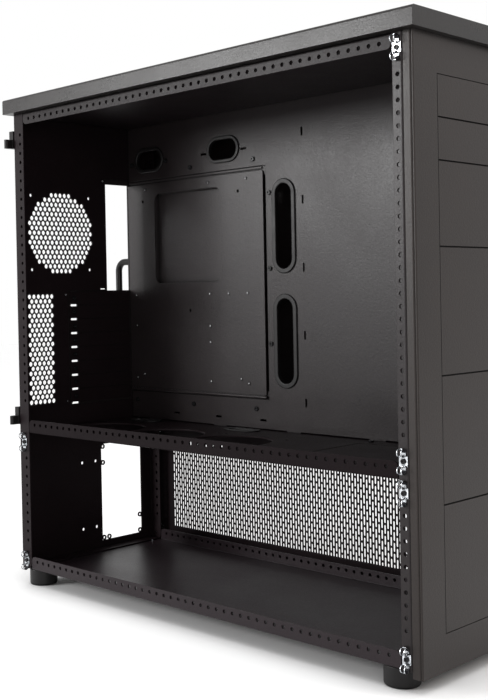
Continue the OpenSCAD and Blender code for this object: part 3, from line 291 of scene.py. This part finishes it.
# Painted shade: the rear panel with its slot covers, and the mid plate with the vented door's inner
# side, get darker, duller copies for the little light inside the case.
COAT_SHADED = powder_coat("powder_coat_rear_painted_shade", (0.0125, 0.0082, 0.0095), 0.40, specular=0.085)
COAT_SHELF_SHADED = powder_coat("powder_coat_shelf_painted_shade", (0.0100, 0.0068, 0.0078), 0.42, specular=0.04)
COAT_TRAY = powder_coat("powder_coat_tray", (0.0190, 0.0150, 0.0158), 0.33, specular=0.25)
COAT_FLOOR = powder_coat("powder_coat_floor", (0.0185, 0.0122, 0.0150), 0.36, specular=0.20)
SATIN = satin_black("satin_black", (0.010, 0.009, 0.0092), 0.34, specular=0.18)
RUBBER = rubber("black_rubber", (0.010, 0.0092, 0.0096), specular=0.22)
ZINC = plated("zinc_plate", (0.70, 0.72, 0.75), 0.20, depth=4 * MM)
CLIP = plated("spring_steel", (0.80, 0.83, 0.87), 0.16, depth=12 * MM)
INSERT = plated("insert_black_nickel", (0.075, 0.072, 0.075), 0.34, depth=0.8 * MM)
# Painted highlight: a bright metal bush in each insert's bore stands in for the shine on its rim.
BORE_HIGHLIGHT = plated("insert_bore_painted_highlight", (0.95, 0.96, 0.97), 0.30, depth=0.3 * MM)
# Painted shade: near-black satin for the faces inside the clips' loops.
CLIP_PAINTED_SHADE = satin_black("spring_steel_painted_shade", (0.012, 0.012, 0.015), 0.4, specular=0.1)
STEEL = plated("screw_steel", (0.40, 0.41, 0.44), 0.3, depth=1 * MM)
BLACK_STEEL = satin_black("black_screw", (0.009, 0.009, 0.010), 0.24, specular=0.16)


def material_for(node):
    """The finish of a CAD node, by what it is; the ceiling, rear panel, slot covers and mid plate
    get copies of the coat darkened as painted shade, and the processor opening's cover a copy
    lightened as painted light.
    """
    if node == "foot_screws":
        return STEEL
    if node in ("chassis_screws", "tray_screws", "clip_screws", "slot_screws"):
        return BLACK_STEEL
    if node == "threaded_inserts":
        return INSERT
    if "grommet" in node or node.startswith("foot_"):
        return RUBBER
    if "spring_clip" in node:
        return CLIP
    if node == "tray_thumbscrews":
        return ZINC
    if "hinge" in node or node == "tray_handle":
        return SATIN
    if node == "rear_panel" or node.startswith("slot_cover"):
        return COAT_SHADED
    if node in ("mid_plate", "mid_plate_cover"):
        return COAT_SHELF_SHADED
    if node == "top_cover":
        return COAT_TOP
    if node.startswith("bay_cover") or node in ("front_shell", "front_plate"):
        return COAT_FRONT
    if node == "floor_pan":
        return COAT_FLOOR
    if node == "ceiling_panel":
        return COAT_CEILING_SHADED
    if node == "processor_opening_cover":
        return COAT_RECESS_LIT
    if node == "tray_plate":
        return COAT_TRAY
    return COAT


def dress(obj, material):
    """Gives every material slot of an object one material."""
    if not obj.material_slots:
        obj.data.materials.append(material)
    for slot in obj.material_slots:
        slot.material = material


for name, obj in NODES.items():
    dress(obj, material_for(name))


GROMMET_ROUND = 1.2 * MM
GROMMETS = 4
SHARP_EDGE = 50  # degrees between faces from which an edge is rounded
WELD_GAP = 0.00001


def round_edges(obj, width):
    """Rounds the sharp edges of a piece with modifiers, which leave its mesh as it is."""
    weld = obj.modifiers.new("weld", "WELD")
    weld.merge_threshold = WELD_GAP
    bevel = obj.modifiers.new("round", "BEVEL")
    bevel.width = width
    bevel.segments = 4
    bevel.limit_method = "ANGLE"
    bevel.angle_limit = math.radians(SHARP_EDGE)
    bevel.use_clamp_overlap = True


for index in range(1, GROMMETS + 1):
    round_edges(NODES[f"cable_grommet_{index}"], GROMMET_ROUND)


# ------------------------------------------------- mesh helpers

MERGE_GAP = 1e-6
BLOCK_FACES = (
    (0, 1, 3, 2), (4, 6, 7, 5), (0, 4, 5, 1),
    (2, 3, 7, 6), (0, 2, 6, 4), (1, 5, 7, 3),
)  # by number of corner, as add_block counts them
ROD_SIDES = 24


def mesh_object(name, build, material, body):
    """A new piece from a function that fills a bmesh."""
    bm = bmesh.new()
    build(bm)
    bmesh.ops.remove_doubles(bm, verts=bm.verts, dist=MERGE_GAP)
    bmesh.ops.recalc_face_normals(bm, faces=bm.faces)
    mesh = bpy.data.meshes.new(name)
    bm.to_mesh(mesh)
    bm.free()
    obj = bpy.data.objects.new(name, mesh)
    bpy.context.scene.collection.objects.link(obj)
    dress(obj, material)
    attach(obj, body)
    return obj


def circle(radius, sides):
    """Points round a circle about 0, from the first axis towards the second."""
    angles = [2 * math.pi * i / sides for i in range(sides)]
    return [(radius * math.cos(a), radius * math.sin(a)) for a in angles]


def bridge(bm, near, far, count, closed=True):
    """Faces between two rows of count points each, round to the start again where closed."""
    for i in range(count if closed else count - 1):
        j = (i + 1) % count
        bm.faces.new((near[i], near[j], far[j], far[i]))


def add_block(bm, low, high):
    """A closed box between two corners."""
    low, high = Vector(low), Vector(high)
    corners = [
        bm.verts.new((x, y, z))
        for x in (low.x, high.x)
        for y in (low.y, high.y)
        for z in (low.z, high.z)
    ]
    for face in BLOCK_FACES:
        bm.faces.new([corners[i] for i in face])


def add_rod(bm, start, end, radius):
    """A closed cylinder between two points."""
    start, end = Vector(start), Vector(end)
    axis = (end - start).normalized()
    side = axis.orthogonal().normalized()
    other = axis.cross(side)
    points = circle(radius, ROD_SIDES)
    rings = [[bm.verts.new(c + p * side + q * other) for p, q in points] for c in (start, end)]
    bridge(bm, *rings, ROD_SIDES)
    bm.faces.new(rings[0])
    bm.faces.new(rings[1])


# ------------------------------------------------- vented lower right door
# Every second column is shifted up by half a row, and ends in a short slot at both ends.

VENT_COLUMN_PITCH = 4.6415  # mm
VENT_ROW_PITCH = 13.96
VENT_SLOT_LENGTH = 11.7
VENT_SLOT_WIDTH = 2.5
VENT_START = 38.85  # first column's rear edge, forward of the door's rear edge
VENT_BOTTOM = 21.8  # above the frame's underside
VENT_COLUMNS = 125
VENT_ROWS = 10
SLOT_END_STEPS = 4  # sides of each rounded end of a slot
SHEET = 1.0  # thickness of the door
ON_EDGE = 1e-6  # points this close to a cell's edge lie on it
END_MARGIN = 0.01  # how far below its rounded end a point of a slot still belongs to the end
SIDE_MARGIN = 0.05  # points of the end this close to the slot's side belong to the side


def slot_outline(width, length):
    """Points round an upright slot with rounded ends, centred on 0."""
    r = width / 2
    s = length / 2 - r
    points = []
    for centre, start in ((s, 0), (-s, 180)):
        for k in range(SLOT_END_STEPS + 1):
            a = math.radians(start + 180 / SLOT_END_STEPS * k)
            points.append((r * math.cos(a), centre + r * math.sin(a)))
    return points


def add_vent_cell(bm, x_out, x_in, centre_d, centre_h, pitch_d, pitch_h):
    """One cell of the vented sheet: a slot through it, with the metal round the slot.

    x_out and x_in are the faces of the sheet. A cell that is less high has a shorter slot.
    """
    length = pitch_h - VENT_ROW_PITCH + VENT_SLOT_LENGTH
    slot_points = slot_outline(VENT_SLOT_WIDTH, length)
    half_width = VENT_SLOT_WIDTH / 2
    end_start = length / 2 - half_width
    hd, hh = pitch_d / 2, pitch_h / 2
    frame_points = []
    for px, py in slot_points:
        if abs(py) > end_start - END_MARGIN and abs(px) < half_width - SIDE_MARGIN:
            frame_points.append((px / half_width * hd, math.copysign(hh, py)))
        else:
            frame_points.append((math.copysign(hd, px), py))
    on_side = [abs(abs(px) - hd) < ON_EDGE for px, _ in frame_points]
    on_top = [abs(abs(py) - hh) < ON_EDGE for _, py in frame_points]
    count = len(slot_points)

    def vert(x, p):
        return bm.verts.new(place(x, centre_d + p[0], centre_h + p[1]))

    rings = {}
    for x in (x_out, x_in):
        rings[x] = ([vert(x, p) for p in slot_points], [vert(x, p) for p in frame_points])
    for i in range(count):
        j = (i + 1) % count
        for x in (x_out, x_in):
            inner, outer = rings[x]
            a, b = frame_points[i], frame_points[j]
            loop = [inner[i], inner[j], outer[j]]
            turns_in = on_side[i] and not on_top[i] and on_top[j]
            turns_out = on_top[i] and on_side[j] and not on_top[j]
            if turns_in or turns_out:
                corner = (math.copysign(hd, a[0] + b[0]), math.copysign(hh, a[1] + b[1]))
                loop.append(vert(x, corner))
            loop.append(outer[i])
            bm.faces.new(loop)
        bm.faces.new((rings[x_out][0][i], rings[x_out][0][j], rings[x_in][0][j], rings[x_in][0][i]))


def build_vented_door(bm):
    """The door's sheet with all its slots, plain margins round them and a folded rim."""
    low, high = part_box("lower_right_door")
    x_out = (high.x - LEFT_X) / MM
    x_in = x_out - SHEET
    x_rim = (low.x - LEFT_X) / MM
    depth = (REAR_Y - low.y) / MM
    h0, h1 = (low.z - BASE_Z) / MM, (high.z - BASE_Z) / MM
    top = VENT_BOTTOM + VENT_ROWS * VENT_ROW_PITCH
    for c in range(VENT_COLUMNS):
        d = VENT_START + (c + 0.5) * VENT_COLUMN_PITCH
        shift = (c % 2) * VENT_ROW_PITCH / 2
        rows = VENT_ROWS - c % 2
        for k in range(rows):
            h = VENT_BOTTOM + shift + (k + 0.5) * VENT_ROW_PITCH
            add_vent_cell(bm, x_out, x_in, d, h, VENT_COLUMN_PITCH, VENT_ROW_PITCH)
        if c % 2:
            for h in (VENT_BOTTOM + shift / 2, top - shift / 2):
                add_vent_cell(bm, x_out, x_in, d, h, VENT_COLUMN_PITCH, shift)
    end = VENT_START + VENT_COLUMNS * VENT_COLUMN_PITCH
    margins = (
        ((x_in, 0, h0), (x_out, depth, VENT_BOTTOM)),
        ((x_in, 0, top), (x_out, depth, h1)),
        ((x_in, 0, VENT_BOTTOM), (x_out, VENT_START, top)),
        ((x_in, end, VENT_BOTTOM), (x_out, depth, top)),
        ((x_rim, 0, h0), (x_in, SHEET, h1)),
        ((x_rim, depth - SHEET, h0), (x_in, depth, h1)),
        ((x_rim, SHEET, h0), (x_in, depth - SHEET, h0 + SHEET)),
        ((x_rim, SHEET, h1 - SHEET), (x_in, depth - SHEET, h1)),
    )
    for a, b in margins:
        pa, pb = place(*a), place(*b)
        add_block(bm, (pa.x, pb.y, pa.z), (pb.x, pa.y, pb.z))


door = mesh_object("vented_door_sheet", build_vented_door, COAT, "case")
# Painted shade: the side of the door inside the lower chamber gets the darker shelf copy of the
# coat.
door.data.materials.append(COAT_SHELF_SHADED)
for face in door.data.polygons:
    if face.normal.x < -0.5:  # the side that faces the lower chamber
        face.material_index = 1
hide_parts("lower_right_door")


# ------------------------------------------------- bright bores of the threaded inserts, as painted highlights

BORE_RADIUS = 1.22 * MM
BORE_HOLE = 0.45 * MM  # radius of the hole that is left
BORE_START = 0.1 * MM  # behind the insert's open end
BORE_LENGTH = 1.4 * MM  # from the insert's open end to the bush's far end
BORE_SINK = 0.6 * MM  # depth of the countersink
BORE_SIDES = 20
STEPS_PER_METRE = 1e6  # vertices that round to the same step are one point


def islands(obj):
    """The boxes of the separate solids of a piece, as (low, high)."""
    mesh = obj.data
    parent = list(range(len(mesh.vertices)))

    def root(i):
        while parent[i] != i:
            parent[i] = parent[parent[i]]
            i = parent[i]
        return i

    by_place = {}
    for v in mesh.vertices:
        key = tuple(round(c * STEPS_PER_METRE) for c in v.co)
        if key in by_place:
            parent[root(v.index)] = root(by_place[key])
        else:
            by_place[key] = v.index
    for edge in mesh.edges:
        a, b = (root(i) for i in edge.vertices)
        parent[a] = b
    boxes = {}
    for v in mesh.vertices:
        point = obj.matrix_world @ v.co
        box = boxes.setdefault(root(v.index), [point.copy(), point.copy()])
        for axis in range(3):
            box[0][axis] = min(box[0][axis], point[axis])
            box[1][axis] = max(box[1][axis], point[axis])
    return list(boxes.values())


def build_bore_highlights(bm):
    """A short bright bush in the bore of every insert, with a countersunk end: a painted highlight.
    """
    for low, high in islands(NODES["threaded_inserts"]):
        y, z = (low.y + high.y) / 2, (low.z + high.z) / 2
        rings = []
        for radius, x in (
            (BORE_HOLE, low.x + BORE_START),
            (BORE_RADIUS, low.x + BORE_START + BORE_SINK),
            (BORE_RADIUS, low.x + BORE_LENGTH),
            (BORE_HOLE, low.x + BORE_LENGTH),
        ):
            points = circle(radius, BORE_SIDES)
            rings.append([bm.verts.new((x, y + p, z + q)) for p, q in points])
        for near, far in zip(rings, rings[1:] + rings[:1]):
            bridge(bm, near, far, BORE_SIDES)


mesh_object("insert_bore_highlights", build_bore_highlights, BORE_HIGHLIGHT, "tray")


# ------------------------------------------------- rolled edge of the ledge under the board tray

BEAD_RADIUS = 1.9 * MM
BEAD_INSET = 1.0 * MM  # of its axis from the ledge's left edge
BEAD_DROP = 2.1 * MM  # of its axis below the tray's lower edge
BEAD_FRONT_GAP = 14 * MM  # from the ledge's front end
BEAD_REAR_GAP = 1 * MM


def build_ledge_bead(bm):
    """A straight rod along the ledge, just under the tray's lower edge."""
    low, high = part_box("tray_runner_bottom")
    tray_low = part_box("tray_plate")[0]
    x, z = low.x + BEAD_INSET, tray_low.z - BEAD_DROP
    add_rod(bm, (x, low.y + BEAD_FRONT_GAP, z), (x, high.y - BEAD_REAR_GAP, z), BEAD_RADIUS)


mesh_object("tray_ledge_bead", build_ledge_bead, COAT_TRAY, "case")


# ------------------------------------------------- bent spring clips on the left flanges

CLIPS = 6
CLIP_SHEET = 0.9  # mm
CLIP_LOOP_WIDTH = 5.6
CLIP_PLATE_HALF = 5.2  # half the height of the wide plate between the loops
CLIP_LOOP_STEPS = 20
CLIP_OPEN = 55  # degrees of each loop left open towards the plate
CLIP_OVERLAP = 0.4  # of the loops and the wide plate
CLIP_WINDOW = 4.0  # width of the window in the outer half of a loop
WINDOW_START = 1.1  # distance from the flange at which it starts, in radii of the loop


def loop_ring(radius, centre_out, centre_h, way):
    """Points of one loop, from the plate outwards and back, as (out from the flange, up).

    way is 1 for the upper loop and -1 for the lower one.
    """
    points = []
    for i in range(CLIP_LOOP_STEPS + 1):
        a = math.radians(180 - (360 - CLIP_OPEN) * i / CLIP_LOOP_STEPS)
        points.append((centre_out + radius * math.cos(a), centre_h + way * radius * math.sin(a)))
    return points


def build_clip(bm, low, high):
    """A spring clip within a box: a plate on the flange, curled over into a loop at both ends."""
    centre = (low + high) / 2
    loop_r = (high.x - low.x) / 2 / MM
    loop_h = (high.z - low.z) / 2 / MM - loop_r
    half_depth = (high.y - low.y) / 2

    def vert(out, up, along):
        return bm.verts.new((high.x - out * MM, centre.y + along, centre.z + up * MM))

    def sweep(outer, inner, start, end):
        """The strip of sheet between an outer and an inner line, from start to end in depth."""
        edges = ((outer, start), (inner, start), (inner, end), (outer, end))
        rows = [[vert(*p, along) for p in line] for line, along in edges]
        for near, far in zip(rows, rows[1:] + rows[:1]):
            bridge(bm, near, far, len(outer), closed=False)
        for i in (0, -1):
            bm.faces.new([row[i] for row in rows])

    rim, window = CLIP_LOOP_WIDTH / 2 * MM, CLIP_WINDOW / 2 * MM
    for way in (1, -1):
        foot = way * (CLIP_PLATE_HALF - CLIP_OVERLAP)
        outer = [(0, foot)] + loop_ring(loop_r, loop_r, way * loop_h, way)
        inner = [(CLIP_SHEET, foot)]
        inner += loop_ring(loop_r - CLIP_SHEET, loop_r, way * loop_h, way)
        sweep(outer, inner, -rim, -window)
        sweep(outer, inner, window, rim)
        open_part = [i for i, p in enumerate(outer) if p[0] > loop_r * WINDOW_START]
        first, last = open_part[0], open_part[-1]
        behind = outer[last + 1:]
        sweep(outer[:first], inner[:first], -window, window)
        if len(behind) > 1:  # a strip needs two points
            sweep(behind, inner[last + 1:], -window, window)
    lower, upper = -CLIP_PLATE_HALF, CLIP_PLATE_HALF
    face, back = [(0, lower), (0, upper)], [(CLIP_SHEET, lower), (CLIP_SHEET, upper)]
    sweep(face, back, -half_depth, half_depth)


def add_clip(index):
    """A bent clip in place of the plain one, with painted shade on the faces inside its loops."""
    node = f"left_spring_clip_{index}"
    low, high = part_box(node)

    def build(bm):
        build_clip(bm, low, high)

    clip = mesh_object(f"bent_spring_clip_{index}", build, CLIP, "case")
    clip.data.materials.append(CLIP_PAINTED_SHADE)
    radius = (high.x - low.x) / 2
    centre_x = (low.x + high.x) / 2
    loop_z = (high.z - low.z) / 2 - radius
    for face in clip.data.polygons:
        middle = face.center
        up = middle.z - (low.z + high.z) / 2
        if abs(up) < loop_z - radius:  # between the loops
            continue
        to_axis = Vector((centre_x - middle.x, 0, math.copysign(loop_z, up) - up))
        inner_half = to_axis.length < radius - 0.5 * CLIP_SHEET * MM
        if inner_half and face.normal.dot(to_axis) > 0:
            face.material_index = 1
    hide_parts(node)


for index in range(1, CLIPS + 1):
    add_clip(index)


# ------------------------------------------------- stage, lights and camera

FLOOR_SIZE = 14
FLOOR_GLOW = 0.66  # of the floor as seen, on top of the lamps' light on it
FLOOR_SHADOW = 0.16  # distance from the case over which the glow fades
AMBIENT = 0.3  # the world's light on the object
AIM = Vector((0, 0, 0.35))  # what the lamps point at
LAMPS = (
    # name, azimuth, elevation, distance, size, power, colour
    ("key_softbox", -33, 13, 3.0, (1.2, 0.8), 58, (1.0, 1.0, 1.0)),
    ("fill_softbox", 50, 8, 3.0, (1.0, 1.0), 10, (1.0, 0.95, 0.92)),
    ("front_softbox", 112, 28, 3.0, (1.0, 1.0), 20, (1.0, 0.94, 0.90)),
    ("high_softbox", 70, 60, 2.6, (1.4, 1.4), 12, (1.0, 1.0, 1.0)),
)


def seen_directly(tree):
    """1 for camera, glossy and transmission rays, 0 for the rays that light the object."""
    path = tree.nodes.new("ShaderNodeLightPath")
    total = path.outputs["Is Camera Ray"]
    for ray in ("Is Glossy Ray", "Is Transmission Ray"):
        node = tree.nodes.new("ShaderNodeMath")
        node.operation = "MAXIMUM"
        tree.links.new(total, node.inputs[0])
        tree.links.new(path.outputs[ray], node.inputs[1])
        total = node.outputs[0]
    return total


def scaled(tree, value, low, high):
    """value from 0..1 turned into low..high."""
    node = tree.nodes.new("ShaderNodeMapRange")
    node.inputs["To Min"].default_value = low
    node.inputs["To Max"].default_value = high
    tree.links.new(value, node.inputs["Value"])
    return node.outputs[0]


def add_floor():
    """A white floor that glows only as seen, so that it adds no light to the object."""
    bpy.ops.mesh.primitive_plane_add(size=FLOOR_SIZE, location=(0, 0, 0))
    floor = bpy.context.object
    floor.name = "studio_floor"
    s = Shader("white_floor")
    s.set(Base_Color=(0.8, 0.8, 0.8), Roughness=0.6, Specular_IOR_Level=0.1)
    s.set(Emission_Color=(1.0, 1.0, 1.0))
    glow = scaled(s.tree, seen_directly(s.tree), 0.0, FLOOR_GLOW)
    s.set(Emission_Strength=s.math("MULTIPLY", glow, s.cavity(FLOOR_SHADOW)))
    dress(floor, s.material)


def add_world():
    """A white room as seen, directly or in a reflection, which lights the object only dimly."""
    world = bpy.data.worlds.new("white_room")
    bpy.context.scene.world = world
    world.use_nodes = True
    background = world.node_tree.nodes["Background"]
    background.inputs["Color"].default_value = (1.0, 1.0, 1.0, 1.0)
    strength = scaled(world.node_tree, seen_directly(world.node_tree), AMBIENT, 1.0)
    world.node_tree.links.new(strength, background.inputs["Strength"])


def add_softbox(name, azimuth, elevation, distance, size, power, color):
    """A flat lamp aimed at the case. Azimuth 0 is off the open side, 90 off the front."""
    a, e = math.radians(azimuth), math.radians(elevation)
    away = Vector((-math.cos(a) * math.cos(e), -math.sin(a) * math.cos(e), math.sin(e)))
    light = bpy.data.lights.new(name, "AREA")
    light.shape = "RECTANGLE"
    light.size, light.size_y = size
    light.energy = power
    light.color = color
    obj = bpy.data.objects.new(name, light)
    bpy.context.scene.collection.objects.link(obj)
    obj.location = AIM + away * distance
    obj.rotation_euler = (-away).to_track_quat("-Z", "Y").to_euler()


# The camera was solved from the holes and edges in the photograph.
FOCAL_PX = 1116.60
PHOTO_W, PHOTO_H = 488, 700
PRINCIPAL_PX = (180.63, 308.77)  # the point straight ahead of the lens
CAMERA_FROM_REAR_LEFT = (-922.03, 1278.92, 376.76)  # mm: right, forward, up
CAMERA_YAW = 45.877  # degrees from the case's +x towards its rear
CAMERA_PITCH = 0.705  # looking down
CAMERA_ROLL = 1.100
SENSOR = 36.0


def add_camera():
    """The photograph's view. The shift gives its crop, which isn't centred on the lens."""
    data = bpy.data.cameras.new("camera")
    camera = bpy.data.objects.new("camera", data)
    bpy.context.scene.collection.objects.link(camera)
    yaw, pitch, roll = (math.radians(a) for a in (CAMERA_YAW, CAMERA_PITCH, CAMERA_ROLL))
    level = Vector((math.cos(yaw), math.sin(yaw), 0))
    right = Vector((math.sin(yaw), -math.cos(yaw), 0))
    down = Vector((0, 0, -1))
    forward = math.cos(pitch) * level + math.sin(pitch) * down
    below = -math.sin(pitch) * level + math.cos(pitch) * down
    x_axis = math.cos(roll) * right + math.sin(roll) * below
    y_axis = math.sin(roll) * right - math.cos(roll) * below
    basis = Matrix((x_axis, y_axis, -forward)).transposed().to_4x4()
    camera.matrix_world = Matrix.Translation(place(*CAMERA_FROM_REAR_LEFT)) @ basis
    data.sensor_fit = "AUTO"
    data.sensor_width = SENSOR
    data.lens = FOCAL_PX * SENSOR / PHOTO_H
    data.shift_x = (PHOTO_W / 2 - PRINCIPAL_PX[0]) / PHOTO_H
    data.shift_y = -(PHOTO_H / 2 - PRINCIPAL_PX[1]) / PHOTO_H
    data.clip_start = 0.05
    data.clip_end = 50
    bpy.context.scene.camera = camera


add_floor()
add_world()
for lamp in LAMPS:
    add_softbox(*lamp)
add_camera()
bpy.context.scene.view_settings.view_transform = "Standard"
